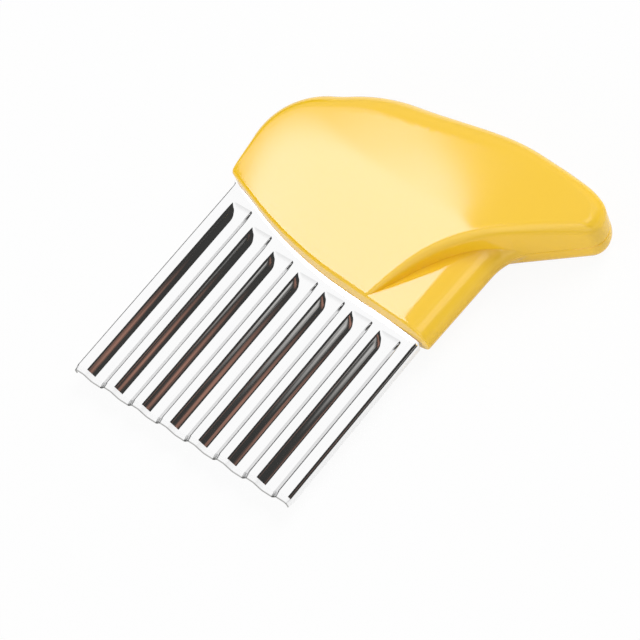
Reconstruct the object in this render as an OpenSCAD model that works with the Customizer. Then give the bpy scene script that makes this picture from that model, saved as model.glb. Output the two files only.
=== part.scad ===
// Crinkle cutter: a corrugated sheet blade clamped between two moulded handle halves.
// X runs along the cutting edge, Y from the cutting edge to the palm, Z out of the front face.
// The handle halves meet in the plane of the seam, where the blade's flat tang lies between them.

/* [Blade] */
// Width of the blade over its bent sides
blade_w = 70; // [66:0.5:90]
// Number of channels pressed into the blade
wave_count = 7; // [3:1:7]
// Distance from one channel to the next
wave_pitch = 9.3; // [8:0.1:9.5]
// Width of the flat crest between two channels
crest_w = 2.5; // [2:0.1:3]
// Width of the flat floor of a channel
floor_w = 2.9; // [2:0.1:3.4]
// Depth of a channel
wave_depth = 2; // [1.2:0.1:2.6]
// Thickness of the sheet
sheet_t = 0.5; // [0.3:0.05:0.7]
// Inside radius of every bend in the sheet
bend_r = 0.45; // [0.3:0.05:0.6]
// How far the blade's sides are bent down
side_drop = 2.4; // [1.5:0.1:3]
// Width of the ground bevel along the cutting edge
bevel_h = 1.5; // [0.8:0.1:3]
// Thickness that the grinding leaves at the cutting edge
edge_t = 0.08; // [0.05:0.01:0.2]
// Length over which a channel runs out at its closed end
channel_ramp = 4.2; // [2:0.1:8]
// Flat margin between the channels' ends and the handle
channel_margin = 3.4; // [2:0.1:8]

/* [Tang] */
// Width of the tang inside the handle
tang_w = 50; // [40:1:56]
// How far the tang reaches into the handle
tang_reach = 20; // [16:0.5:24]
// Diameter of the locating pins
pin_d = 3.5; // [3:0.1:4.5]
// Distance from one pin to the next
pin_gap = 30; // [20:1:34]
// Distance of the pins from the handle's lower edge
pin_in = 14; // [12:0.5:15]
// Length of a pin past the seam, into its socket
pin_bite = 4; // [2:0.5:4.5]
// Diameter of the bosses that carry the pins and their sockets
boss_d = 7; // [6.5:0.5:9]
// Room all round a pin in its hole or socket
pin_room = 0.15; // [0.05:0.05:0.3]
// Room between the tang and the walls of its slot
tang_room = 0.1; // [0.05:0.05:0.3]

/* [Handle outline] */
// Blade that shows at its left side, up to the handle
left_show = 61.4; // [50:0.5:75]
// Blade that shows at its right side, up to the handle
right_show = 48.8; // [40:0.5:60]
// Blade that shows where the handle's lower edge bends
knee_show = 52.2; // [45:0.5:60]
// Distance of that bend from the blade's left side
knee_in = 26.8; // [20:0.5:34]
// How far the handle's lower left corner lies inside the blade's left side
corner_in = 0.6; // [0:0.1:3]
// How far the wing bulges past the blade's left side
wing_out = 1.9; // [1:0.1:4]
// How far the neck stands past the blade's right side
neck_out = 2.8; // [1:0.1:6]
// Sideways lean of the neck over its length
neck_lean = 0.8; // [0:0.1:3]
// How far inside the blade's right side the raised panel's step begins
step_in = 15.8; // [12:0.2:20]
// How far inside the blade's right side the step turns into the tail's underside
notch_in = 4.4; // [0:0.2:8]
// Height of that turn above the lower edge
notch_up = 23; // [18:0.2:30]
// Reach of the tail's corner past the blade's right side
tail_out = 27.2; // [22:0.2:32]
// Height of the tail's corner above the lower edge
tail_up = 46.2; // [43:0.2:49]
// Place of the palm edge's corner past the blade's right side
palm_out = -2.4; // [-6:0.2:2]
// Height of the palm edge's corner above the lower edge
palm_up = 53.6; // [51:0.2:57]
// Place of the shoulder's corner inside the blade's left side
shoulder_in = 22.2; // [18:0.2:25]
// Height of the shoulder's corner above the lower left corner
shoulder_up = 36.4; // [34:0.2:39]
// Height of the wing's bulge above the lower left corner
bulge_up = 21.2; // [18:0.2:23]

/* [Handle heights] */
// Height of the front panel's crown above the seam
front_h = 11; // [9:0.2:14]
// Depth of the flat back panel behind the seam
rear_h = 6.4; // [6:0.2:9]
// Height of the front half at its lower edge
edge_h = 5.1; // [4:0.1:6]
// Height of the neck above the seam
neck_h = 5; // [3.6:0.1:5.6]
// Distance over which the front panel rises from the lower edge to its crown
front_rise = 27; // [20:0.5:32]
// Fall of the front panel's crown from its middle to the tail's tip
crown_fall = 5.8; // [0:0.1:6.4]
// Rounding along the handle's lower edge
edge_round = 0.8; // [0.5:0.1:1.4]
// Rounding of the neck towards its right side
neck_round = 8.5; // [5:0.5:11]
// Thickness of the moulded walls
wall = 2; // [1.4:0.1:2.6]
// Chamfer on the rim of each half, which shows as the seam
seam_chamfer = 0.25; // [0.1:0.05:0.5]

/* [Handle rounding] */
// Radius of the outline at its sharp lower corners
corner_r = 1.2; // [0.8:0.1:2]
// Radius of the lower edge where it bends
knee_r = 130; // [60:5:140]
// Radius where the step turns into the tail's underside
notch_r = 49; // [20:1:60]
// Radius of the tail's tip
tip_r = 4.8; // [4:0.2:7]
// Radius of the palm edge
palm_r = 60; // [40:1:70]
// Radius of the shoulder
shoulder_r = 42; // [24:1:44]
// Radius of the wing's bulge
bulge_r = 21; // [12:1:22]
// Radius of the hollow between the neck and the tail
hollow_r = 13; // [8:0.5:16]
// Width of the rounding along the palm edge
palm_round = 8; // [5:0.5:10]
// Width of the rounding along the wing's side
side_round = 6; // [3:0.5:8]
// Width of the rounding over the step and the tail's underside
step_round = 0.8; // [0.6:0.1:2]
// Width of the same rounding, and of the one at the tail's tip, on the rear half
back_round = 4.5; // [3:0.5:5]
// Width of the rounding at the tail's tip, on the front half
tip_round = 1.6; // [1:0.2:3]

/* [Hidden] */

// Points on each rounded corner of the outline, and rings over each rounded rim
arc_steps = 8;
round_steps = 5;
// Points on each bend of the sheet, and rows over the run-out of a channel
bend_steps = 2;
ramp_steps = 6;
// Rows of points over the hollow between neck and tail
hollow_steps = 6;
// Smallest radius that an inset corner keeps
least_r = 0.3;
// Rings of points over the wing's panel: their shares of the way from its rim to its spine
panel_shares = [0.3, 0.6, 0.8];
// Place of the tail in the list of the wing's corners
tail_corner = 4;
// How far a cut passes the face that it starts from
over = 1;
// Depths under the seam to which the wing, the neck and the spaces in them run before they are cut off
wing_foot = 1;
neck_foot = 2;
wing_space_foot = 3;
neck_space_foot = 4;
cut_foot = 5;
// How far the neck's lower wall lies behind the wing's, so that the two blend without a shared face
blend_in = 0.05;
// How far the neck runs on inside the wing and inside the tail
neck_root = 6;
hollow_run = 6;
// Power of the distance from the middle with which the crown falls: a high one keeps the middle flat
fall_power = 4;
// Gaps between the handle's lower wall and the ends of the bent sides and of the blade's shoulders
side_stop = 1;
side_end = 0.5;
shoulder_gap = 0.1;

half = blade_w / 2;
slope_run = (wave_pitch - crest_w - floor_w) / 2;
wave_x = -(wave_count * wave_pitch - crest_w) / 2;
tang_back = -2 * tang_room - sheet_t;

function unit(v) = v / norm(v);
function left_of(v) = [-v[1], v[0]];
function turned(v, q) = [v[0] * cos(q) - v[1] * sin(q), v[0] * sin(q) + v[1] * cos(q)];
function mix(a, b, t) = a + (b - a) * t;
function eased(t) = t * t * (3 - 2 * t);
function at(list, i) = list[(i + len(list)) % len(list)];

// Turn of a path at its corner b, and that corner moved to the left of both its edges
function turn_at(a, b, c) = let (u = b - a, v = c - b) atan2(u[0] * v[1] - u[1] * v[0], u * v);
function mitred(a, b, c, d) =
    let (u = unit(b - a), v = unit(c - b))
    b + (left_of(u) + left_of(v)) * d / (1 + u * v);

// Points along the arc that rounds corner b with radius r
function arc_at(a, b, c, r, steps) =
    let (
        u = unit(b - a),
        turn = turn_at(a, b, c),
        spoke = -left_of(u) * sign(turn) * r,
        centre = b - u * r * tan(abs(turn) / 2) - spoke
    )
    [for (k = [0 : steps]) centre + turned(spoke, turn * k / steps)];

// Height of the handle's lower edge at x: two straight stretches with a rounded knee
corner_x = -half + corner_in;
knee_x = -half + knee_in;
neck_x = half + neck_out;
left_slope = (knee_show - left_show) / (knee_x - corner_x);
right_slope = (right_show - knee_show) / (neck_x - knee_x);
knee_soft = knee_r * (1 / cos((atan(right_slope) - atan(left_slope)) / 2) - 1);
function low_y(x) =
    let (a = left_slope * (x - knee_x), b = right_slope * (x - knee_x))
    knee_show + (a + b) / 2 + sqrt(pow((a - b) / 2, 2) + knee_soft * knee_soft);
function right_y(x) = knee_show + right_slope * (x - knee_x);

// Corners of the wing's outline
step_x = half - step_in;
corner = [corner_x, left_show];
knee = [knee_x, knee_show];
step = [step_x, right_y(step_x)];
notch = [half - notch_in, right_show + notch_up];
tail = [half + tail_out, right_show + tail_up];
palm = [half + palm_out, right_show + palm_up];
shoulder = [-half + shoulder_in, left_show + shoulder_up];
bulge = [-half - wing_out, left_show + bulge_up];

// Line along the middle of the panel, on which its rings of points close
spine_a = (corner + shoulder) / 2;
spine_b = (notch + tail + palm) / 3;
function spine_foot(p) =
    let (run = spine_b - spine_a)
    spine_a + run * max(0, min(1, (p - spine_a) * run / (run * run)));

// Shape of each half: height at the lower edge and at the crown, fall of the crown along its length,
// and rounding over the step and at the tail's tip
front_form = [edge_h, front_h, crown_fall, step_round, tip_round];
rear_form = [rear_h, rear_h, 0, back_round, back_round];

// Corners with their outline radius, the width and height of their rounded rim, and their foot on the spine
function wing_corner(p, r, w, h) = [p, r, w, h, spine_foot(p)];
function wing_corners(form) =
    let (share = form[1] / front_h)
    [
        wing_corner(corner, corner_r, edge_round, edge_round),
        wing_corner(knee, knee_r, edge_round, edge_round),
        wing_corner(step, corner_r, edge_round, edge_round),
        wing_corner(notch, notch_r, form[3], form[3]),
        wing_corner(tail, tip_r, form[4], form[4]),
        wing_corner(palm, palm_r, palm_round, palm_round * share),
        wing_corner(shoulder, shoulder_r, palm_round, palm_round * share),
        wing_corner(bulge, bulge_r, side_round, side_round * share)
    ];

// Outline of the wing, drawn in by skin all round and by a share of each corner's rim
function wing_plan(c, skin, share) =
    let (
        n = len(c),
        inset = [for (corner = c) skin + share * corner[2]],
        moved = [for (i = [0 : n - 1]) mitred(at(c, i - 1)[0], c[i][0], at(c, i + 1)[0], inset[i])]
    )
    [for (i = [0 : n - 1])
        let (
            bend = sign(turn_at(at(c, i - 1)[0], c[i][0], at(c, i + 1)[0])),
            r = max(least_r, c[i][1] - bend * inset[i])
        )
        each arc_at(at(moved, i - 1), moved[i], at(moved, i + 1), r, arc_steps)];

// Height of the wing's panel, which rises from the lower edge and falls off along its length
function wing_z(p, form) =
    let (u = max(0, min(1, (p[1] - low_y(p[0])) / front_rise)))
    mix(form[0], form[1], 1 - (1 - u) * (1 - u)) - form[2] * pow(abs(p[0] / tail[0]), fall_power);

function lifted(plan, z) = [for (p = plan) [p[0], p[1], z]];

// A solid through rings of points, from a flat base up to a last ring, which a strip across it closes.
// The strip starts at the ring's point of that number and pairs the points on both sides of it.
module loft(rings, strip_start) {
    n = len(rings[0]);
    last = len(rings) - 1;
    sides = [for (k = [0 : last - 1], j = [0 : n - 1])
        let (a = k * n + j, b = k * n + (j + 1) % n)
        each [[a + n, b + n, b], [a + n, b, a]]];
    function across(j) = last * n + (strip_start + j + n) % n;
    cap = concat(
        [for (j = [1 : n / 2 - 1]) [across(j + 1), across(j), across(-j)]],
        [for (j = [0 : n / 2 - 2]) [across(j + 1), across(-j), across(-j - 1)]]
    );
    base = [[for (j = [0 : n - 1]) j]];
    polyhedron([for (ring = rings) each ring], concat(base, sides, cap));
}

// The wing with its tail, above the seam. A skin draws it in to make the space inside it.
module wing(form, skin = 0) {
    c = wing_corners(form);
    per = arc_steps + 1;
    rims = [for (k = [0 : round_steps])
        let (q = 90 * k / round_steps, plan = wing_plan(c, skin, 1 - cos(q)))
        [for (j = [0 : len(plan) - 1])
            let (p = plan[j])
            [p[0], p[1], wing_z(p, form) - skin - c[floor(j / per)][3] * (1 - sin(q))]]];
    inner = rims[round_steps];
    panels = [for (t = panel_shares)
        [for (j = [0 : len(inner) - 1])
            let (
                i = floor(j / per),
                foot = mix(c[i][4], at(c, i + 1)[4], j / per - i),
                p = mix([inner[j][0], inner[j][1]], foot, t)
            )
            [p[0], p[1], wing_z(p, form) - skin]]];
    foot = skin > 0
        ? [lifted(wing_plan(c, skin, 0), -wing_space_foot)]
        : [
            lifted(wing_plan(c, seam_chamfer, 0), -wing_foot),
            lifted(wing_plan(c, seam_chamfer, 0), 0),
            lifted(wing_plan(c, 0, 0), seam_chamfer)
        ];
    loft(concat(foot, rims, panels), tail_corner * per);
}

// The hollow: an arc from the neck's right side into the tail's underside, just inside the tail's own wall.
// Slopes are sideways reach per height v above the lower edge.
function above_edge(p) = p[1] - right_y(p[0]);
neck_slope = neck_lean / notch_up;
tail_slope = (tail[0] - notch[0]) / (above_edge(tail) - above_edge(notch));
hollow_turn = atan(tail_slope - neck_slope);
hollow_corner = (neck_x - notch[0] + blend_in + tail_slope * above_edge(notch)) / (tail_slope - neck_slope);
hollow_v = hollow_corner - hollow_r * tan(hollow_turn / 2);
hollow_bow = hollow_r * sin(hollow_turn);

// Reach of the neck's right side at a height v above the lower edge
function neck_reach(v) =
    let (w = max(0, v - hollow_v))
    neck_x + neck_slope * v + (w < hollow_bow
        ? hollow_r - sqrt(hollow_r * hollow_r - w * w)
        : hollow_r * (1 - cos(hollow_turn)) + (w - hollow_bow) * tan(hollow_turn));

// The neck: one section, flat inside and rounded at its right, carried from the lower edge up into the tail
module neck(skin = 0) {
    root_x = step_x - neck_root;
    h = neck_h - skin;
    foot = skin > 0 ? -neck_space_foot : -neck_foot;
    chamfer = skin > 0 ? 0 : seam_chamfer;
    rim = [for (k = [0 : round_steps])
        let (q = 90 * k / round_steps)
        [skin + blend_in + edge_round * (1 - cos(q)), h - edge_round * (1 - sin(q))]];
    hollow = [for (k = [0 : hollow_steps]) [hollow_v + hollow_bow * k / hollow_steps, h]];
    stations = concat(rim, hollow, [[hollow_v + hollow_bow + hollow_run, h]]);
    rings = [for (s = stations)
        let (reach = neck_reach(s[0]) - skin, width = neck_round - skin)
        concat(
            [[root_x, right_y(root_x) + s[0], foot], [root_x, right_y(root_x) + s[0], s[1]]],
            [for (k = [0 : arc_steps])
                let (q = 90 - 90 * k / arc_steps, x = reach - width * (1 - cos(q)))
                [x, right_y(x) + s[0], max(chamfer, s[1] * sin(q))]],
            [for (z = [-chamfer / 2, foot]) [reach - chamfer, right_y(reach) + s[0], z]]
        )];
    n = len(rings[0]);
    last = len(rings) - 1;
    sides = [for (k = [0 : last - 1], j = [0 : n - 1])
        let (a = k * n + j, b = k * n + (j + 1) % n)
        each [[b + n, b, a], [a + n, b + n, a]]];
    front = [[for (j = [0 : n - 1]) j]];
    back = [[for (j = [n - 1 : -1 : 0]) last * n + j]];
    polyhedron([for (ring = rings) each ring], concat(front, sides, back));
}

pin_x = [-pin_gap / 2, pin_gap / 2];
function pin_place(x) = [x, low_y(x) + pin_in];

// One hollow half of the handle, standing on the seam
module half_shell(form) {
    difference() {
        union() {
            wing(form);
            neck();
        }
        wing(form, wall);
        neck(wall);
        translate([-blade_w, 0, -cut_foot]) cube([3 * blade_w, 2 * high_y, cut_foot]);
    }
}

// Height of a boss that ends inside the shell's wall
function boss_h(x, form) = wing_z(pin_place(x) - [0, boss_d / 2], form) - wall / 2;

// Cross-section of the sheet, seen along the channels: place and front radius of each bend
crest_r = bend_r + sheet_t;
sheet_path = concat(
    [[-half, -side_drop, 0], [-half, 0, crest_r]],
    [for (i = [0 : wave_count - 1])
        let (x = wave_x + i * wave_pitch)
        each [
            [x, 0, crest_r],
            [x + slope_run, -wave_depth, bend_r],
            [x + slope_run + floor_w, -wave_depth, bend_r],
            [x + 2 * slope_run + floor_w, 0, crest_r]
        ]],
    [[half, 0, crest_r], [half, -side_drop, 0]]
);

// Points of that section on its front face (d = 0) or drawn back through the sheet (d = sheet_t)
function sheet_points(d) =
    let (
        n = len(sheet_path),
        p = [for (s = sheet_path) [s[0], s[1]]],
        moved = [for (i = [0 : n - 1])
            i == 0 ? p[0] + [d, 0] : i == n - 1 ? p[n - 1] - [d, 0] : mitred(p[i - 1], p[i], p[i + 1], -d)]
    )
    concat(
        [moved[0]],
        [for (i = [1 : n - 2])
            let (r = sheet_path[i][2] + sign(turn_at(p[i - 1], p[i], p[i + 1])) * d)
            each arc_at(moved[i - 1], moved[i], moved[i + 1], r, bend_steps)],
        [moved[n - 1]]
    );

// Top of the channel nearest to x
function channel_end(x) =
    let (
        i = max(0, min(wave_count - 1, round((x - wave_x - (wave_pitch - crest_w) / 2) / wave_pitch))),
        middle = wave_x + i * wave_pitch + slope_run + floor_w / 2
    )
    low_y(middle) - channel_margin;

// The sheet as two faces of points, row by row from the cutting edge to the end of the tang
module sheet() {
    front = sheet_points(0);
    back = sheet_points(sheet_t);
    n = len(front);
    side_n = bend_steps + 2;
    squeeze = tang_w / blade_w;
    function is_side(j) = j < side_n || j >= n - side_n;
    // One row of points: share of the section's depth in the waves and in the sides, place along Y
    function row(wave, side, place, grind = 0, narrow = 1) =
        let (
            f = [for (j = [0 : n - 1])
                let (e = is_side(j) ? side : wave, x = front[j][0] * narrow)
                [x, place(x), front[j][1] * e]],
            b = [for (j = [0 : n - 1])
                let (e = is_side(j) ? side : wave, x = mix(front[j][0], back[j][0], e) * narrow)
                [x, place(f[j][0]), mix(-sheet_t, back[j][1], e)]]
        )
        concat([for (j = [0 : n - 1]) mix(f[j], b[j], grind)], [for (j = [n - 1 : -1 : 0]) b[j]]);
    rows = concat(
        [row(1, 1, function (x) 0, 1 - edge_t / sheet_t)],
        [row(1, 1, function (x) bevel_h)],
        [for (k = [0 : ramp_steps])
            let (t = 1 - k / ramp_steps)
            row(eased(t), 1, function (x) channel_end(x) - channel_ramp * t)],
        [row(0, 1, function (x) low_y(x) - side_stop)],
        [row(0, 0, function (x) low_y(x) - side_end)],
        [row(0, 0, function (x) low_y(x) - shoulder_gap, 0, squeeze)],
        [row(0, 0, function (x) low_y(x) + tang_reach, 0, squeeze)]
    );
    m = len(rows[0]);
    last = len(rows) - 1;
    sides = [for (k = [0 : last - 1], j = [0 : m - 1])
        let (a = k * m + j, b = k * m + (j + 1) % m)
        each [[b + m, b, a], [a + m, b + m, a]]];
    ends = [for (k = [0, last], j = [0 : n - 2])
        let (a = k * m + j, b = k * m + m - 1 - j)
        each k == 0 ? [[b, a, a + 1], [b - 1, b, a + 1]] : [[b, a + 1, a], [b, b - 1, a + 1]]];
    polyhedron([for (r = rows) each r], concat(sides, ends));
}

// The part's origin: under the middle of its box, on the plane of the back panel
outline = wing_plan(wing_corners(front_form), 0, 0);
low_x = min(-half, min([for (p = outline) p[0]]));
high_x = max([for (p = outline) p[0]]);
high_y = max([for (p = outline) p[1]]);
module placed() translate([-(low_x + high_x) / 2, -high_y / 2, rear_h]) children();

// Front half: crowned panel, with a socket in each boss
module front_shell() color("#f6c83c") placed() difference() {
    union() {
        half_shell(front_form);
        for (x = pin_x)
            translate(pin_place(x))
                cylinder(h = boss_h(x, front_form), d = boss_d, $fn = 48);
    }
    for (x = pin_x)
        translate([pin_place(x)[0], pin_place(x)[1], -over])
            cylinder(h = over + pin_bite + pin_room, d = pin_d + 2 * pin_room, $fn = 48);
}

// Rear half: flat back panel, a slot for the tang, and a pin on each boss
module rear_shell() color("#efbe34") placed() union() {
    difference() {
        mirror([0, 0, 1]) half_shell(rear_form);
        translate([-tang_w / 2 - tang_room, right_show - over, tang_back])
            cube([tang_w + 2 * tang_room, left_show - right_show + 2 * over, over - tang_back]);
    }
    for (x = pin_x)
        translate(pin_place(x)) {
            mirror([0, 0, 1])
                translate([0, 0, -tang_back])
                    cylinder(h = boss_h(x, rear_form) + tang_back, d = boss_d, $fn = 48);
            translate([0, 0, tang_back - wall / 2])
                cylinder(h = pin_bite - tang_back + wall / 2, d = pin_d, $fn = 48);
        }
}

// Blade: the pressed sheet, with a hole in its tang for each pin
module blade() color("#c9ccd0") placed() difference() {
    translate([0, 0, -tang_room]) sheet();
    for (x = pin_x)
        translate([pin_place(x)[0], pin_place(x)[1], -sheet_t - over])
            cylinder(h = sheet_t + 2 * over, d = pin_d + 2 * pin_room, $fn = 48);
}

front_shell();
rear_shell();
blade();
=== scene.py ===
import math
from collections import namedtuple

import bmesh
import bpy
import numpy as np
from mathutils import Euler, Matrix, Vector
from mathutils.geometry import delaunay_2d_cdt


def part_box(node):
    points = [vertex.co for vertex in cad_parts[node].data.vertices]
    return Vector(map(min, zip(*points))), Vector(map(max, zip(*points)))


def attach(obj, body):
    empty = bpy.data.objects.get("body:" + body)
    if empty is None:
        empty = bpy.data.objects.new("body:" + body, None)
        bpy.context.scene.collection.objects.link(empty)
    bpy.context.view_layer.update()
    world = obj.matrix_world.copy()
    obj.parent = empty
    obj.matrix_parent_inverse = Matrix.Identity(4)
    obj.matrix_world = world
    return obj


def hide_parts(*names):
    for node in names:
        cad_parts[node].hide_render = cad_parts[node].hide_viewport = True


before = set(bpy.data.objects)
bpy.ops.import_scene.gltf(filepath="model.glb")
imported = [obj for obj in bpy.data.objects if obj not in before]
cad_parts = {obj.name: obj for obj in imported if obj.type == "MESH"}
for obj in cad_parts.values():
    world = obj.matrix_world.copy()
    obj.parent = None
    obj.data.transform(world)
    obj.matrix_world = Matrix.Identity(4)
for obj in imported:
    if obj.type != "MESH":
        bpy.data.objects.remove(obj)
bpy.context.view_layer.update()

# Lengths are in mm, in the CAD model's own design frame, up to make_mesh, which places them in the frame
MM = 0.001

# Blade and tang. The channels' walls bow by wall_bow (below zero, into the sheet), and least_wall is the
# share of their width that is left where a channel ends
blade_w = 70.0
wave_count = 7
wave_pitch = 9.3
crest_w = 2.5
floor_w = 2.9
wave_depth = 2.0
wall_bow = -0.025
least_wall = 0.3
sheet_t = 0.5
bend_r = 0.8
side_drop = 2.4
bevel_h = 1.5
edge_t = 0.08
channel_ramp = 4.2
channel_margin = 2.8
tang_w = 50.0
tang_reach = 20.0
tang_room = 0.1
side_stop = 1.0
side_end = 0.5
shoulder_gap = 0.1

# Handle outline
left_show = 61.4
right_show = 48.8
knee_show = 52.2
knee_in = 26.8
corner_in = 0.6
wing_out = 1.9
neck_out = 2.8
neck_lean = 0.8
step_in = 15.8
notch_in = 4.4
notch_up = 23.0
tail_out = 27.2
tail_up = 46.2
tail_bow = 1.2
palm_out = -2.4
palm_up = 53.6
shoulder_in = 22.2
shoulder_up = 36.4
bulge_up = 21.2

# Handle heights and roundings
front_h = 11.0
rear_h = 6.4
edge_h = 5.1
neck_h = 5.0
front_rise = 27.0
crown_fall = 5.8
fall_power = 4
edge_round = 0.8
neck_round = 8.5
wall = 2.0
seam_chamfer = 0.25
corner_r = 1.2
knee_r = 130.0
notch_r = 49.0
tip_r = 4.8
palm_r = 60.0
shoulder_r = 42.0
bulge_r = 21.0
hollow_r = 13.0
palm_round = 5.0
shoulder_round = 8.0
side_round = 6.0
step_round = 2.4
back_round = 4.5
tip_round = 2.6
least_r = 0.3
blend_in = 0.05
neck_root = 6.0
hollow_run = 6.0

# Fineness of the visible meshes: points per arc, rings per rounded rim, spacing of points on flat stretches
arc_steps = 24
flat_steps = 18
rim_steps = 14
spacing = 1.2
bend_steps = 8
flat_points = 5
ramp_steps = 24
# Share of a flat stretch's length between each of its ends and the nearest point on it
flat_end = 0.05
# Points nearer to each other than this are one: in a panel's triangles, and in a finished mesh
same_place = 1e-7
weld_gap = 0.002
# Stands in for the rise of a level edge, so that nothing is divided by zero
level_rise = 1e-12
# How far a shape that is joined on or cut away reaches past the seam or the walls
over = 1.0
# How far the handle is drawn in all round, so that its finer curves stay inside the solids' box
fit_in = 0.03

half = blade_w / 2
slope_run = (wave_pitch - crest_w - floor_w) / 2
channel_half = (wave_pitch - crest_w) / 2
wave_x = -(wave_count * wave_pitch - crest_w) / 2
tang_back = -2 * tang_room - sheet_t


def unit(v):
    return v / np.hypot(v[0], v[1])


def left_of(v):
    return np.array([-v[1], v[0]])


def eased(t):
    return t * t * (3 - 2 * t)


def swelling(t):
    """Rises from 0 at the start to 1, two fifths of the way along, and falls to 0 at the end."""
    top = 2 / 5
    return t ** 2 * (1 - t) ** 3 / (top ** 2 * (1 - top) ** 3)


def turn_at(a, b, c):
    """Turn of a path at its corner b."""
    u, v = b - a, c - b
    return math.atan2(u[0] * v[1] - u[1] * v[0], u @ v)


def mitred(a, b, c, d):
    """Corner b of a path, moved to the left of both its edges by d."""
    u, v = unit(b - a), unit(c - b)
    return b + (left_of(u) + left_of(v)) * d / (1 + u @ v)


def arc_at(a, b, c, r, steps):
    """Points along the arc that rounds corner b with radius r."""
    u = unit(b - a)
    turn = turn_at(a, b, c)
    spoke = -left_of(u) * np.sign(turn) * r
    centre = b - u * r * math.tan(abs(turn) / 2) - spoke
    q = turn * np.arange(steps + 1) / steps
    turned = np.stack([spoke[0] * np.cos(q) - spoke[1] * np.sin(q),
                       spoke[0] * np.sin(q) + spoke[1] * np.cos(q)], 1)
    return centre + turned


# Height of the handle's lower edge: two straight stretches with a rounded knee
corner_x = -half + corner_in
knee_x = -half + knee_in
neck_x = half + neck_out
left_slope = (knee_show - left_show) / (knee_x - corner_x)
right_slope = (right_show - knee_show) / (neck_x - knee_x)
knee_soft = knee_r * (1 / math.cos((math.atan(right_slope) - math.atan(left_slope)) / 2) - 1)


def low_y(x):
    a, b = left_slope * (x - knee_x), right_slope * (x - knee_x)
    return knee_show + (a + b) / 2 + np.sqrt(((a - b) / 2) ** 2 + knee_soft ** 2)


def right_y(x):
    return knee_show + right_slope * (x - knee_x)


# Corners of the wing's outline
step_x = half - step_in
corner = np.array([corner_x, left_show])
knee = np.array([knee_x, knee_show])
step = np.array([step_x, right_y(step_x)])
notch = np.array([half - notch_in, right_show + notch_up])
tail = np.array([half + tail_out, right_show + tail_up])
palm = np.array([half + palm_out, right_show + palm_up])
shoulder = np.array([-half + shoulder_in, left_show + shoulder_up])
bulge = np.array([-half - wing_out, left_show + bulge_up])
# Where the tail and the palm edge come in the order of the corners
at_tail = 4
at_palm = 5
# The shape of each half: height at the lower edge and at the crown, fall of the crown along its length,
# and rounding over the step and at the tail's tip
Form = namedtuple("Form", "edge crown fall step tip")
front_form = Form(edge_h, front_h, crown_fall, step_round, tip_round)
rear_form = Form(rear_h, rear_h, 0.0, back_round, back_round)


def wing_corners(form):
    """Place, outline radius, and width and height of the rounded rim at each corner."""
    share = form.crown / front_h
    return [
        (corner, corner_r, edge_round, edge_round),
        (knee, knee_r, edge_round, edge_round),
        (step, corner_r, edge_round, edge_round),
        (notch, notch_r, form.step, form.step),
        (tail, tip_r, form.tip, form.tip),
        (palm, palm_r, palm_round, palm_round * share),
        (shoulder, shoulder_r, shoulder_round, shoulder_round * share),
        (bulge, bulge_r, side_round, side_round * share),
    ]


def wing_arcs(corners, skin, share):
    """Arcs that round the wing's corners, drawn in by skin and by a share of each rim's width."""
    n = len(corners)
    places = [c[0] for c in corners]
    inset = [skin + share * c[2] for c in corners]
    moved = [mitred(places[i - 1], places[i], places[(i + 1) % n], inset[i]) for i in range(n)]
    arcs = []
    for i in range(n):
        bend = np.sign(turn_at(places[i - 1], places[i], places[(i + 1) % n]))
        r = max(least_r, corners[i][1] - bend * inset[i])
        arcs.append(arc_at(moved[i - 1], moved[i], moved[(i + 1) % n], r, arc_steps))
    return arcs


def run_shares(outer, i):
    """Shares of the way along the straight run after arc i, at which the outline has points."""
    run = np.hypot(*(outer[(i + 1) % len(outer)][0] - outer[i][-1]))
    steps = max(1, math.ceil(run / spacing))
    return np.arange(1, steps) / steps


def tail_swell(outer):
    """Shift of each outline point: the tail's upper side swells between its tip and the palm edge."""
    counts = [len(outer[i]) + len(run_shares(outer, i)) for i in range(len(outer))]
    first = sum(counts[:at_tail]) + arc_steps // 2
    after = sum(counts[:at_palm]) + arc_steps // 2
    run = outer[at_palm][0] - outer[at_tail][-1]
    shares = run_shares(outer, at_tail)[:, None]
    path = np.concatenate([outer[at_tail][arc_steps // 2:], outer[at_tail][-1] + run * shares,
                           outer[at_palm][:arc_steps // 2 + 1]])
    gone = np.concatenate([[0], np.cumsum(np.hypot(*np.diff(path, axis=0).T))])
    t = gone / gone[-1]
    shift = np.zeros((sum(counts), 2))
    shift[first:after + 1] = tail_bow * swelling(t)[:, None] * -left_of(unit(run))
    return shift


def wing_ring(corners, skin, share):
    """Outline of the wing, drawn in by skin and by a share of each rim, with its rims' heights."""
    n = len(corners)
    outer = wing_arcs(corners, 0, 0)
    arcs = wing_arcs(corners, skin, share)
    places, heights = [], []
    for i in range(n):
        j = (i + 1) % n
        t = run_shares(outer, i)
        places += [arcs[i], arcs[i][-1] + (arcs[j][0] - arcs[i][-1]) * t[:, None]]
        heights += [np.full(arc_steps + 1, corners[i][3]),
                    corners[i][3] + (corners[j][3] - corners[i][3]) * eased(t)]
    return np.concatenate(places) + tail_swell(outer), np.concatenate(heights)


def wing_z(p, form):
    """Height of the wing's panel, which rises from the lower edge and falls off along its length."""
    u = np.clip((p[:, 1] - low_y(p[:, 0])) / front_rise, 0, 1)
    rise = (form.crown - form.edge) * (1 - (1 - u) ** 2)
    return form.edge + rise - form.fall * (p[:, 0] / tail[0]) ** fall_power


def loft_faces(rings, n):
    """Faces between successive rings of n points."""
    return [(k * n + j, k * n + (j + 1) % n, (k + 1) * n + (j + 1) % n, (k + 1) * n + j)
            for k in range(rings - 1) for j in range(n)]


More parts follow.
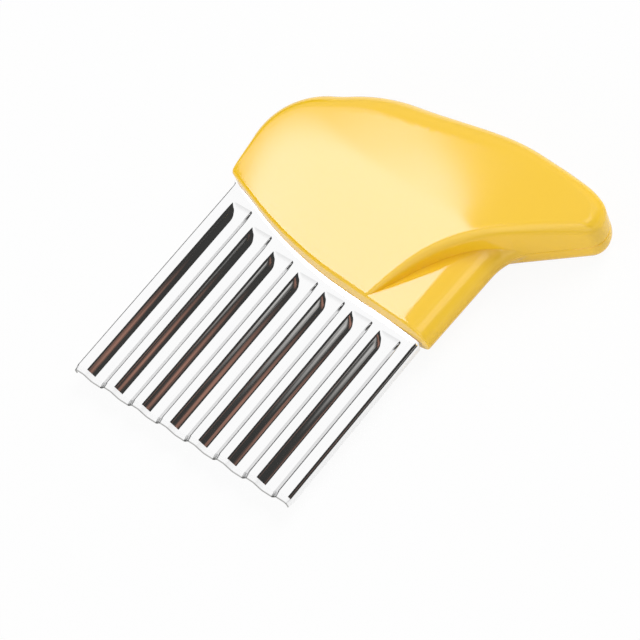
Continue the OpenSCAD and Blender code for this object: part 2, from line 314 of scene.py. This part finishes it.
def inside(points, ring):
    """Which points lie inside a closed ring."""
    x, y = points[:, 0, None], points[:, 1, None]
    a, b = ring, np.roll(ring, -1, axis=0)
    crosses = (a[:, 1] > y) != (b[:, 1] > y)
    rise = np.where(b[:, 1] == a[:, 1], level_rise, b[:, 1] - a[:, 1])
    hit = x < (b[:, 0] - a[:, 0]) * (y - a[:, 1]) / rise + a[:, 0]
    return (crosses & hit).sum(1) % 2 == 1


def panel(ring):
    """Points spread evenly inside a ring, and triangles over the ring's points and those."""
    low, high = ring.min(0), ring.max(0)
    xs = np.arange(low[0], high[0], spacing)
    ys = np.arange(low[1], high[1], spacing * math.sqrt(3) / 2)
    rows = [np.stack([xs + spacing / 2 * (k % 2), np.full(len(xs), y)], 1) for k, y in enumerate(ys)]
    grid = np.concatenate(rows)
    grid = grid[inside(grid, ring)]
    gap = np.array([np.hypot(*(ring - p).T).min() for p in grid])
    grid = grid[gap > spacing / 2]
    points = [Vector(p) for p in np.concatenate([ring, grid])]
    found = delaunay_2d_cdt(points, [], [list(range(len(ring)))], 1, same_place)
    source = [ids[0] for ids in found[3]]
    return grid, [tuple(source[v] for v in face) for face in found[2]]


# The design frame's origin in the frame: the middle of the cutting edge, in the plane of the seam
blade_low, blade_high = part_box("blade")
shift = np.array([(blade_low.x + blade_high.x) / 2, blade_low.y, blade_high.z]) / MM + [0, 0, tang_room]


def make_mesh(name, points, faces):
    """A mesh object from points in mm, with its faces turned outwards."""
    mesh = bpy.data.meshes.new(name)
    mesh.from_pydata(((np.asarray(points) + shift) * MM).tolist(), [], faces)
    work = bmesh.new()
    work.from_mesh(mesh)
    bmesh.ops.recalc_face_normals(work, faces=work.faces)
    work.to_mesh(mesh)
    work.free()
    obj = bpy.data.objects.new(name, mesh)
    bpy.context.scene.collection.objects.link(obj)
    return obj


def carve(body, tool, operation):
    """Joins a tool to a body, or cuts it away, and removes the tool."""
    change = body.modifiers.new("carve", "BOOLEAN")
    change.operation = operation
    change.solver = "EXACT"
    change.object = tool
    graph = bpy.context.evaluated_depsgraph_get()
    mesh = bpy.data.meshes.new_from_object(body.evaluated_get(graph))
    body.modifiers.clear()
    body.data = mesh
    bpy.data.objects.remove(tool)


def wing(form, side, space=False):
    """The wing with its tail, on one side of the seam, or the space inside its walls."""
    corners = wing_corners(form)
    skin = wall if space else fit_in
    rings = []
    if space:
        rings.append((wing_ring(corners, skin, 0)[0], -3 * over))
    else:
        lip = wing_ring(corners, skin + seam_chamfer, 0)[0]
        rings += [(lip, -over), (lip, 0), (wing_ring(corners, skin, 0)[0], seam_chamfer)]
    for k in range(rim_steps + 1):
        q = math.pi / 2 * k / rim_steps
        plan, rim = wing_ring(corners, skin, 1 - math.cos(q))
        rings.append((plan, wing_z(plan, form) - skin - rim * (1 - math.sin(q))))
    n = len(rings[0][0])
    points = [np.column_stack([plan, np.broadcast_to(z, n)]) for plan, z in rings]
    grid, cap = panel(rings[-1][0])
    points.append(np.column_stack([grid, wing_z(grid, form) - skin]))
    first = n * (len(rings) - 1)
    faces = loft_faces(len(rings), n) + [tuple(v + first for v in face) for face in cap]
    faces.append(tuple(reversed(range(n))))
    return make_mesh("wing", np.concatenate(points) * [1, 1, side], faces)


def above_edge(p):
    return p[1] - right_y(p[0])


# The hollow: an arc from the neck's right side into the tail's underside. Slopes are sideways reach
# per height
neck_slope = neck_lean / notch_up
tail_slope = (tail[0] - notch[0]) / (above_edge(tail) - above_edge(notch))
hollow_turn = math.atan(tail_slope - neck_slope)
hollow_corner = (neck_x - notch[0] + blend_in + tail_slope * above_edge(notch)) / (tail_slope - neck_slope)
hollow_v = hollow_corner - hollow_r * math.tan(hollow_turn / 2)
hollow_bow = hollow_r * math.sin(hollow_turn)


def neck_reach(v):
    """Reach of the neck's right side at a height v above the lower edge."""
    w = max(0.0, v - hollow_v)
    if w < hollow_bow:
        bow = hollow_r - math.sqrt(hollow_r ** 2 - w * w)
    else:
        bow = hollow_r * (1 - math.cos(hollow_turn)) + (w - hollow_bow) * math.tan(hollow_turn)
    return neck_x + neck_slope * v + bow


def neck(side, space=False):
    """The neck: one section, flat inside and rounded at its right, carried up into the tail."""
    skin = wall if space else fit_in
    root_x = step_x - neck_root
    h = neck_h - skin
    foot = -4 * over if space else -2 * over
    chamfer = 0.0 if space else seam_chamfer
    stations = []
    for k in range(rim_steps + 1):
        q = math.pi / 2 * k / rim_steps
        v = skin + blend_in + edge_round * (1 - math.cos(q))
        stations.append((v, h - edge_round * (1 - math.sin(q))))
    start = stations[-1][0]
    steps = math.ceil((hollow_v - start) / spacing)
    stations += [(start + (hollow_v - start) * k / steps, h) for k in range(1, steps)]
    stations += [(hollow_v + hollow_bow * k / arc_steps, h) for k in range(arc_steps + 1)]
    stations.append((hollow_v + hollow_bow + hollow_run, h))
    rings = []
    for v, z in stations:
        reach, width = neck_reach(v) - skin, neck_round - skin
        flat = np.linspace(root_x, reach - width, flat_steps, endpoint=False)
        ring = [(root_x, foot)] + [(x, z) for x in flat]
        for k in range(arc_steps + 1):
            q = math.pi / 2 * (1 - k / arc_steps)
            ring.append((reach - width * (1 - math.cos(q)), max(chamfer, z * math.sin(q))))
        ring += [(reach - chamfer, -chamfer / 2), (reach - chamfer, foot)]
        rings.append(np.array([(x, right_y(x) + v, z) for x, z in ring]))
    n = len(rings[0])
    last = n * (len(rings) - 1)
    faces = loft_faces(len(rings), n) + [tuple(range(n)), tuple(range(last, last + n))]
    return make_mesh("neck", np.concatenate(rings) * [1, 1, side], faces)


def block(low, high):
    """A plain box between two corners, for cutting."""
    corners = [(x, y, z) for z in (low[2], high[2])
               for x, y in ((low[0], low[1]), (high[0], low[1]), (high[0], high[1]), (low[0], high[1]))]
    return make_mesh("block", corners, loft_faces(2, 4) + [(3, 2, 1, 0), (4, 5, 6, 7)])


def finish_shading(obj, angle):
    """Smooth shading, broken only at edges sharper than an angle."""
    work = bmesh.new()
    work.from_mesh(obj.data)
    bmesh.ops.remove_doubles(work, verts=work.verts, dist=weld_gap * MM)
    bmesh.ops.recalc_face_normals(work, faces=work.faces)
    work.to_mesh(obj.data)
    work.free()
    obj.data.shade_smooth()
    obj.data.set_sharp_from_angle(angle=math.radians(angle))


def half_shell(name, form, side):
    """One hollow half of the handle. Side is 1 in front of the seam and -1 behind it."""
    shell = wing(form, side)
    carve(shell, neck(side), "UNION")
    carve(shell, wing(form, side, space=True), "DIFFERENCE")
    carve(shell, neck(side, space=True), "DIFFERENCE")
    deep = 5 * over
    low, high = (-deep, 0) if side > 0 else (0, deep)
    carve(shell, block((-blade_w, 0, low), (2 * blade_w, 2 * blade_w, high)), "DIFFERENCE")
    shell.name = name
    return shell


def sheet_points(d):
    """The sheet's section on its front face (d = 0) or drawn back through the sheet (d = sheet_t), in
    stretches: a flat one, then each bend with the flat one after it. Points near a flat's ends keep its
    shading flat."""
    crest_r = bend_r + sheet_t
    path = [(-half, -side_drop, 0), (-half, 0, crest_r)]
    for i in range(wave_count):
        x = wave_x + i * wave_pitch
        path += [(x, 0, crest_r), (x + slope_run, -wave_depth, bend_r),
                 (x + slope_run + floor_w, -wave_depth, bend_r), (x + 2 * slope_run + floor_w, 0, crest_r)]
    path += [(half, 0, crest_r), (half, -side_drop, 0)]
    p = [np.array(s[:2]) for s in path]
    last = len(p) - 1
    bends = [mitred(p[i - 1], p[i], p[i + 1], -d) for i in range(1, last)]
    moved = [p[0] + (d, 0), *bends, p[last] - (d, 0)]
    ends = [np.array(moved[:1])]
    for i in range(1, last):
        r = path[i][2] + np.sign(turn_at(p[i - 1], p[i], p[i + 1])) * d
        ends.append(arc_at(moved[i - 1], moved[i], moved[i + 1], r, bend_steps))
    ends.append(np.array(moved[last:]))
    shares = np.linspace(flat_end, 1 - flat_end, flat_points)[:, None]
    flats = []
    for k in range(last):
        run = ends[k + 1][0] - ends[k][-1]
        # Each channel has four stretches, and every other one is a wall. The first and last are bent sides
        is_wall = k % 2 == 0 and 0 < k <= 4 * wave_count
        bow = wall_bow * 4 * shares * (1 - shares) * left_of(unit(run)) if is_wall else 0
        flats.append(ends[k][-1] + run * shares + bow)
    return [np.concatenate(pair) for pair in zip(ends, flats + [np.empty((0, 2))])]


def channel_middle(x):
    """Middle of the channel nearest to x."""
    i = np.clip(np.round((x - wave_x - channel_half) / wave_pitch), 0, wave_count - 1)
    return wave_x + i * wave_pitch + channel_half


def channel_end(x):
    """Top of the channel nearest to x."""
    return low_y(channel_middle(x)) - channel_margin


def narrowed(x, depth):
    """Places across the sheet where the channels run out: walls keep their slope and floors widen."""
    middle = channel_middle(x)
    off = np.abs(x - middle)
    share = least_wall + (1 - least_wall) * depth
    wall_off = channel_half - (channel_half - off) * share
    floor_off = off * (channel_half - slope_run * share) / (floor_w / 2)
    moved = middle + np.sign(x - middle) * np.where(off < floor_w / 2, floor_off, wall_off)
    return np.where(off > channel_half, x, moved)


def sheet():
    """The blade: two faces of points, row by row from the cutting edge to the end of the tang."""
    stretches = sheet_points(0)
    front, back = np.concatenate(stretches), np.concatenate(sheet_points(sheet_t))
    n = len(front)
    side_n = len(stretches[0]) + bend_steps + 1
    order = np.arange(n)
    is_side = (order < side_n) | (order >= n - side_n)
    squeeze = tang_w / blade_w

    def row(wave, side, place, grind=0.0, narrow=1.0):
        """One row of points, over the front and back again. Wave and side are the shares of their depth
        that the channels and the bent sides have here, place gives y, grind takes a share of the thickness
        off the front, and narrow draws the row in."""
        e = np.where(is_side, side, wave)
        kept = np.where(is_side, front[:, 0], narrowed(front[:, 0], wave))
        x = kept * narrow
        y = place(x)
        f = np.stack([x, y, front[:, 1] * e], 1)
        bx = (kept + (back[:, 0] - front[:, 0]) * e) * narrow
        b = np.stack([bx, y, -sheet_t + (back[:, 1] + sheet_t) * e], 1)
        return np.concatenate([f + (b - f) * grind, b[::-1]])

    rows = [row(1, 1, lambda x: 0 * x, 1 - edge_t / sheet_t), row(1, 1, lambda x: 0 * x + bevel_h)]
    for k in range(ramp_steps + 1):
        t = 1 - k / ramp_steps
        rows.append(row(1 - (1 - t) ** 2, 1, lambda x, t=t: channel_end(x) - channel_ramp * t))
    rows += [
        row(0, 1, lambda x: low_y(x) - side_stop),
        row(0, 0, lambda x: low_y(x) - side_end),
        row(0, 0, lambda x: low_y(x) - shoulder_gap, narrow=squeeze),
        row(0, 0, lambda x: low_y(x) + tang_reach, narrow=squeeze),
    ]
    m = 2 * n
    faces = loft_faces(len(rows), m)
    for first in (0, m * (len(rows) - 1)):
        faces += [(first + j, first + j + 1, first + m - 2 - j, first + m - 1 - j) for j in range(n - 1)]
    return make_mesh("wavy_blade", np.concatenate(rows) - [0, 0, tang_room], faces)


# Materials. Scales are in features per metre, heights and widths in mm
plastic_ior = 1.55
yellow_deep = (0.96, 0.59, 0.021)
yellow_light = (0.975, 0.61, 0.027)
mottle_scale = 30
gloss_scale = 160
plastic_rough = (0.07, 0.12)
skin_scale = 700
skin_detail = 2
skin_strength = 0.04
skin_height = 0.05
steel_dull = (0.94, 0.94, 0.945)
steel_bright = (0.985, 0.985, 0.985)
# Grey of the painted dark reflection along the cutting edge
edge_reflection_grey = (0.40, 0.40, 0.39)
grain_scale = 40
grain_detail = 6
grain_stretch = (60, 1, 60)
grain_strength = 0.5
grain_height = 0.01
steel_rough = (0.03, 0.1)
bevel_rough = 0.18
bevel_blend = 0.1
# Width of the band of painted dark reflection at the cutting edge, and of its fade
edge_reflection_w = 0.15
edge_reflection_blend = 0.2


def node_tree(name):
    material = bpy.data.materials.new(name)
    material.use_nodes = True
    tree = material.node_tree
    return material, tree, tree.nodes["Principled BSDF"]


def link(tree, source, target):
    tree.links.new(source, target)


def mapped(tree, scale=(1, 1, 1), location=(0, 0, 0)):
    """The object's own coordinates, in metres, scaled and then moved."""
    place = tree.nodes.new("ShaderNodeTexCoord")
    mapping = tree.nodes.new("ShaderNodeMapping")
    mapping.inputs["Scale"].default_value = scale
    mapping.inputs["Location"].default_value = location
    link(tree, place.outputs["Object"], mapping.inputs["Vector"])
    return mapping.outputs["Vector"]


def along(tree, vector, axis):
    """A place or a direction, measured along one axis."""
    split = tree.nodes.new("ShaderNodeSeparateXYZ")
    link(tree, vector, split.inputs["Vector"])
    return split.outputs[axis]


def noise(tree, scale, detail=4.0, stretch=(1, 1, 1)):
    """A noise texture over the object's own coordinates."""
    texture = tree.nodes.new("ShaderNodeTexNoise")
    texture.inputs["Scale"].default_value = scale
    texture.inputs["Detail"].default_value = detail
    link(tree, mapped(tree, stretch), texture.inputs["Vector"])
    return texture.outputs["Fac"]


def ranged(tree, value, low, high, start=0.0, end=1.0):
    """A value between start and end, spread from low to high."""
    spread = tree.nodes.new("ShaderNodeMapRange")
    spread.inputs["From Min"].default_value = start
    spread.inputs["From Max"].default_value = end
    spread.inputs["To Min"].default_value = low
    spread.inputs["To Max"].default_value = high
    link(tree, value, spread.inputs["Value"])
    return spread.outputs["Result"]


def joined(tree, operation, first, second):
    """Two values, joined by a sum, a product and the like."""
    node = tree.nodes.new("ShaderNodeMath")
    node.operation = operation
    link(tree, first, node.inputs[0])
    link(tree, second, node.inputs[1])
    return node.outputs[0]


def bump(tree, shader, height, strength, distance):
    node = tree.nodes.new("ShaderNodeBump")
    node.inputs["Strength"].default_value = strength
    node.inputs["Distance"].default_value = distance
    link(tree, height, node.inputs["Height"])
    link(tree, node.outputs["Normal"], shader.inputs["Normal"])


def between(tree, value, first, second):
    """A colour between two, by a value. The first may be another node's colour."""
    mix = tree.nodes.new("ShaderNodeMix")
    mix.data_type = "RGBA"
    if isinstance(first, tuple):
        mix.inputs["A"].default_value = (*first, 1)
    else:
        link(tree, first, mix.inputs["A"])
    mix.inputs["B"].default_value = (*second, 1)
    link(tree, value, mix.inputs["Factor"])
    return mix.outputs["Result"]


def plastic(name, deep, light):
    """Glossy moulded plastic, with a faint mottle and the slight waviness of a moulded skin."""
    material, tree, shader = node_tree(name)
    shader.inputs["IOR"].default_value = plastic_ior
    link(tree, between(tree, noise(tree, mottle_scale), deep, light), shader.inputs["Base Color"])
    link(tree, ranged(tree, noise(tree, gloss_scale), *plastic_rough), shader.inputs["Roughness"])
    bump(tree, shader, noise(tree, skin_scale, skin_detail), skin_strength, skin_height * MM)
    return material


def steel(name, edge_y):
    """Polished sheet with fine drawing lines along the channels, a duller ground bevel and painted dark
    reflection at the edge.
    """
    material, tree, shader = node_tree(name)
    shader.inputs["Metallic"].default_value = 1
    grain = noise(tree, grain_scale, grain_detail, grain_stretch)
    y = along(tree, mapped(tree), "Y")
    # A band of painted dark reflection greys the steel along the cutting edge
    edge_reflection_y = edge_y + edge_reflection_w * MM
    edge_reflection = ranged(tree, y, 1, 0, edge_reflection_y, edge_reflection_y + edge_reflection_blend * MM)
    sheen = between(tree, grain, steel_dull, steel_bright)
    link(tree, between(tree, edge_reflection, sheen, edge_reflection_grey), shader.inputs["Base Color"])
    bevel_y = edge_y + bevel_h * MM
    bevel = ranged(tree, y, bevel_rough, 0, bevel_y - bevel_blend * MM, bevel_y)
    link(tree, joined(tree, "ADD", ranged(tree, grain, *steel_rough), bevel), shader.inputs["Roughness"])
    bump(tree, shader, grain, grain_strength, grain_height * MM)
    return material


# The pieces. A crease is the least angle, in degrees, at which an edge stays sharp
shell_crease = 35
sheet_crease = 13
handle_front = half_shell("handle_front", front_form, 1)
handle_rear = half_shell("handle_rear", rear_form, -1)
slot_low = (-tang_w / 2 - tang_room, right_show - over, tang_back)
slot_high = (tang_w / 2 + tang_room, left_show + over, over)
carve(handle_rear, block(slot_low, slot_high), "DIFFERENCE")
wavy_blade = sheet()

yellow = plastic("yellow_plastic", yellow_deep, yellow_light)
for piece, node, slot, material, crease in (
    (handle_front, "front_shell", "handle_front", yellow, shell_crease),
    (handle_rear, "rear_shell", "handle_rear", yellow, shell_crease),
    (wavy_blade, "blade", "blade_steel", steel("polished_steel", blade_low.y), sheet_crease),
):
    finish_shading(piece, crease)
    piece.data.materials.clear()
    piece.data.materials.append(material)
    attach(piece, "root")
    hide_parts(node)

# Camera, at the photograph's viewing angle. Its place is in the design frame, and its turns are in degrees
lens = 150.99
sensor = 36.0
camera_from = (340.552, -125.410, 503.552)
camera_turns = (33.03385, 15.99837, 40.23392)
camera_data = bpy.data.cameras.new("camera")
camera_data.lens = lens
camera_data.sensor_width = sensor
camera_data.sensor_fit = "HORIZONTAL"
camera = bpy.data.objects.new("camera", camera_data)
camera_place = Vector((np.array(camera_from) + shift) * MM)
camera_turn = Euler([math.radians(q) for q in camera_turns])
camera.matrix_world = Matrix.LocRotScale(camera_place, camera_turn, None)
bpy.context.scene.collection.objects.link(camera)
bpy.context.scene.camera = camera


def light_path_share(tree, mirror_share=1.0):
    """1 for rays from the camera or a clear surface, a share for those from a mirror, 0 for others."""
    path = tree.nodes.new("ShaderNodeLightPath")
    mirrored = ranged(tree, path.outputs["Is Glossy Ray"], 0.0, mirror_share)
    seen = joined(tree, "MAXIMUM", path.outputs["Is Camera Ray"], mirrored)
    return joined(tree, "MAXIMUM", seen, path.outputs["Is Transmission Ray"])


# World: soft light all round, white where the camera sees it. Mirrors see it dimmer towards the horizon,
# and a mirror's mirror image is dimmer again
sky_light = 0.5
twice_mirrored = 0.8
horizon_dim = 0.5
clear_rise = 0.5
world = bpy.data.worlds.new("world")
bpy.context.scene.world = world
world.use_nodes = True
sky_tree = world.node_tree
sky = sky_tree.nodes["Background"]
sky.inputs["Color"].default_value = (1, 1, 1, 1)
sky_path = sky_tree.nodes.new("ShaderNodeLightPath")
sky_seen = ranged(sky_tree, light_path_share(sky_tree), sky_light, 1.0)
mirror_loss = ranged(sky_tree, sky_path.outputs["Glossy Depth"], 1.0, twice_mirrored, 1, 2)
sky_way = sky_tree.nodes.new("ShaderNodeTexCoord").outputs["Generated"]
haze = ranged(sky_tree, along(sky_tree, sky_way, "Z"), 1 - horizon_dim, 0, 0, clear_rise)
haze_seen = joined(sky_tree, "MULTIPLY", haze, sky_path.outputs["Is Glossy Ray"])
sky_share = joined(sky_tree, "MULTIPLY", mirror_loss, ranged(sky_tree, haze_seen, 1, 0))
link(sky_tree, joined(sky_tree, "MULTIPLY", sky_seen, sky_share), sky.inputs["Strength"])


def flat_mesh(name, corners):
    """One flat face, for the floor and the cards round the object."""
    mesh = bpy.data.meshes.new(name)
    mesh.from_pydata(corners, [], [(0, 1, 2, 3)])
    obj = bpy.data.objects.new(name, mesh)
    bpy.context.scene.collection.objects.link(obj)
    return obj


def glowing(tree, colour=None, strength=None):
    """A plain glow, white and of strength 1 where nothing else is given."""
    glow = tree.nodes.new("ShaderNodeEmission")
    if colour:
        link(tree, colour, glow.inputs["Color"])
    if strength:
        link(tree, strength, glow.inputs["Strength"])
    return glow.outputs["Emission"]


def surface(tree, shader):
    link(tree, shader, tree.nodes["Material Output"].inputs["Surface"])


# Floor: pale, white to the camera and in mirrors but for the object's soft shadow
floor_half = 3.0
floor_grey = 0.9
floor_rough = 0.9
floor_white = 0.93
floor_mirrored = 0.5
floor_signs = ((-1, -1), (1, -1), (1, 1), (-1, 1))
floor = flat_mesh("floor", [(x * floor_half, y * floor_half, 0) for x, y in floor_signs])
floor_material, floor_tree, floor_shader = node_tree("floor")
floor_shader.inputs["Base Color"].default_value = (floor_grey, floor_grey, floor_grey, 1)
floor_shader.inputs["Roughness"].default_value = floor_rough
floor_mix = floor_tree.nodes.new("ShaderNodeMixShader")
floor_seen = light_path_share(floor_tree, floor_mirrored)
link(floor_tree, ranged(floor_tree, floor_seen, 0.0, floor_white), floor_mix.inputs["Fac"])
link(floor_tree, floor_shader.outputs["BSDF"], floor_mix.inputs[1])
link(floor_tree, glowing(floor_tree), floor_mix.inputs[2])
surface(floor_tree, floor_mix.outputs["Shader"])
floor.data.materials.append(floor_material)

# Lamps, in metres. The key stands beyond the palm edge, high up, and the fill in front. The soft box hangs
# at the left, the strip over the neck and the tip light over the tail's side. Only the plastic shows these
# three, and nothing shows the other two
unseen_size = (0.8, 0.8)
key_place = (0.16, 0.78, 0.92)
key_radiance = 4.1
fill_place = (-0.35, -1.1, 0.25)
fill_radiance = 3.6
softbox_place = (-0.8428, -0.1212, 0.82)
softbox_size = (1.10, 1.30)
softbox_turn = -40.2
softbox_radiance = 7.0
softbox_tint = (0.70, 0.68, 1.0)
softbox_sides = ((0, 0.28, 0.22), (0.385, 0.485, 0.78))
softbox_fade = 0.012
softbox_slant = (0.45, 0.57, 0.056, 0.010)
strip_place = (0.19, 0.135, 0.334)
strip_size = (0.15, 0.14)
strip_radiance = 1.3
tip_place = (0.38, 0.0, 0.5)
tip_size = (0.24, 0.30)
tip_radiance = 2.0
glossy_handle = bpy.data.collections.new("glossy_handle")
for shell in (handle_front, handle_rear):
    glossy_handle.objects.link(shell)


def lamp(name, place, size, radiance, turn=0.0):
    """A flat soft light that faces down, turned about the vertical by degrees."""
    data = bpy.data.lights.new(name, "AREA")
    data.shape = "RECTANGLE"
    data.size, data.size_y = size
    data.energy = math.pi * radiance * size[0] * size[1]
    obj = bpy.data.objects.new(name, data)
    obj.location = place
    obj.rotation_euler.z = math.radians(turn)
    obj.visible_camera = False
    bpy.context.scene.collection.objects.link(obj)
    return obj


def unseen_lamp(name, place, radiance):
    """A light that falls on the object without showing in it, aimed at the frame's origin."""
    obj = lamp(name, place, unseen_size, radiance)
    obj.rotation_euler = (-obj.location).to_track_quat("-Z", "Y").to_euler()
    obj.visible_glossy = False


def shine_lamp(name, place, size, radiance, turn=0.0):
    """A light that shows in the plastic and nowhere else."""
    obj = lamp(name, place, size, radiance, turn)
    obj.visible_diffuse = False
    obj.light_linking.receiver_collection = glossy_handle
    return obj


def fade_edges(obj, size, sides, fade, slant):
    """Softens a lamp's left and upper edges. Sides gives (start, end, share) of each step up from its left
    edge, fade is the width of the upper edge, and slant gives (start, end, low, high): how far in the upper
    edge is at two places along it. All are in metres."""
    obj.data.use_nodes = True
    tree = obj.data.node_tree
    place = tree.nodes.new("ShaderNodeNewGeometry").outputs["Parametric"]
    across = along(tree, place, "X")
    steps = [ranged(tree, across, 0, share, start / size[0], end / size[0]) for start, end, share in sides]
    start, end, low, high = slant
    edge = ranged(tree, across, 1 - low / size[1], 1 - high / size[1], start / size[0], end / size[0])
    past = joined(tree, "SUBTRACT", along(tree, place, "Y"), edge)
    upper = ranged(tree, past, 1, 0, -fade / size[1], 0)
    glow = joined(tree, "MULTIPLY", joined(tree, "ADD", *steps), upper)
    link(tree, glow, tree.nodes["Emission"].inputs["Strength"])


unseen_lamp("key", key_place, key_radiance)
unseen_lamp("front_fill", fill_place, fill_radiance)
softbox = shine_lamp("softbox", softbox_place, softbox_size, softbox_radiance, softbox_turn)
softbox.data.color = softbox_tint
fade_edges(softbox, softbox_size, softbox_sides, softbox_fade, softbox_slant)
shine_lamp("strip", strip_place, strip_size, strip_radiance)
shine_lamp("tip_shine", tip_place, tip_size, tip_radiance)

# Cards that only mirrors see, in metres: one leans over the object from its right, two stand at its left
card_low = 0.02
card_far = 0.45
right_foot = 0.45
right_head = 0.10
right_near = -0.06
right_high = 0.60
left_x = -0.5
left_near = -0.56
left_change = -0.1
left_high = 0.2
left_front_high = 0.3
charcoal = (0.025, 0.025, 0.024)
soot = (0.05, 0.05, 0.048)
soot_scale = 25
brown = (0.42, 0.21, 0.155)
brown_at = (0.35, 0.055, 0.240)
brown_reach = (0.3, 0.045, 0.021)
grey = (0.75, 0.74, 0.72)
grey_at = (0.36, 0.115, 0.196)
grey_reach = (0.3, 0.06, 0.022)
# A pale card, for the plastic alone, lies just in front of the leaning one. Its glow falls with height,
# then rises. Each gives its strength at its start and end, and the heights of both
pale_in = 0.01
pale_fall = (1.2, 0.4, 0.05, 0.2)
pale_rise = (0.4, 1.1, 0.22, 0.36)


def card_corners(foot, head, near, far, high):
    """Corners of a card that runs from near to far along Y and leans from foot to head along X."""
    return [(foot, near, card_low), (foot, far, card_low), (head, far, high), (head, near, high)]


def blob(tree, centre, reach):
    """1 at a place on a card and 0 outside an oval round it."""
    scale = [1 / r for r in reach]
    texture = tree.nodes.new("ShaderNodeTexGradient")
    texture.gradient_type = "SPHERICAL"
    link(tree, mapped(tree, scale, [-c * s for c, s in zip(centre, scale)]), texture.inputs["Vector"])
    return texture.outputs["Fac"]


def dark_paint(tree):
    return between(tree, noise(tree, soot_scale), charcoal, soot)


def dark_look(tree):
    return glowing(tree, dark_paint(tree))


def patched_look(tree):
    """Dark, with a brown patch and a grey one where the channels' right-hand walls look."""
    colour = between(tree, blob(tree, brown_at, brown_reach), dark_paint(tree), brown)
    return glowing(tree, between(tree, blob(tree, grey_at, grey_reach), colour, grey))


def pale_look(tree):
    """Clear, with a white glow added by height."""
    z = along(tree, mapped(tree), "Z")
    strength = joined(tree, "MAXIMUM", ranged(tree, z, *pale_fall), ranged(tree, z, *pale_rise))
    both = tree.nodes.new("ShaderNodeAddShader")
    link(tree, tree.nodes.new("ShaderNodeBsdfTransparent").outputs["BSDF"], both.inputs[0])
    link(tree, glowing(tree, strength=strength), both.inputs[1])
    return both.outputs["Shader"]


def mirror_card(name, corners, look):
    """A card that only mirrors see. Look gives its shader."""
    card = flat_mesh(name, corners)
    material, tree, _ = node_tree(name)
    surface(tree, look(tree))
    card.data.materials.append(material)
    card.visible_camera = False
    card.visible_diffuse = False
    card.visible_shadow = False
    return card


right_card = card_corners(right_foot, right_head, right_near, card_far, right_high)
pale_card = card_corners(right_foot - pale_in, right_head - pale_in, -card_far, card_far, right_high)
left_card = card_corners(left_x, left_x, left_change, card_far, left_high)
front_left_card = card_corners(left_x, left_x, left_near, left_change, left_front_high)
mirror_card("dark_right", right_card, patched_look)
pale_right = mirror_card("pale_right", pale_card, pale_look)
pale_right.light_linking.receiver_collection = glossy_handle
mirror_card("dark_left", left_card, dark_look)
mirror_card("dark_front_left", front_left_card, dark_look)

bpy.context.scene.view_settings.view_transform = "Standard"
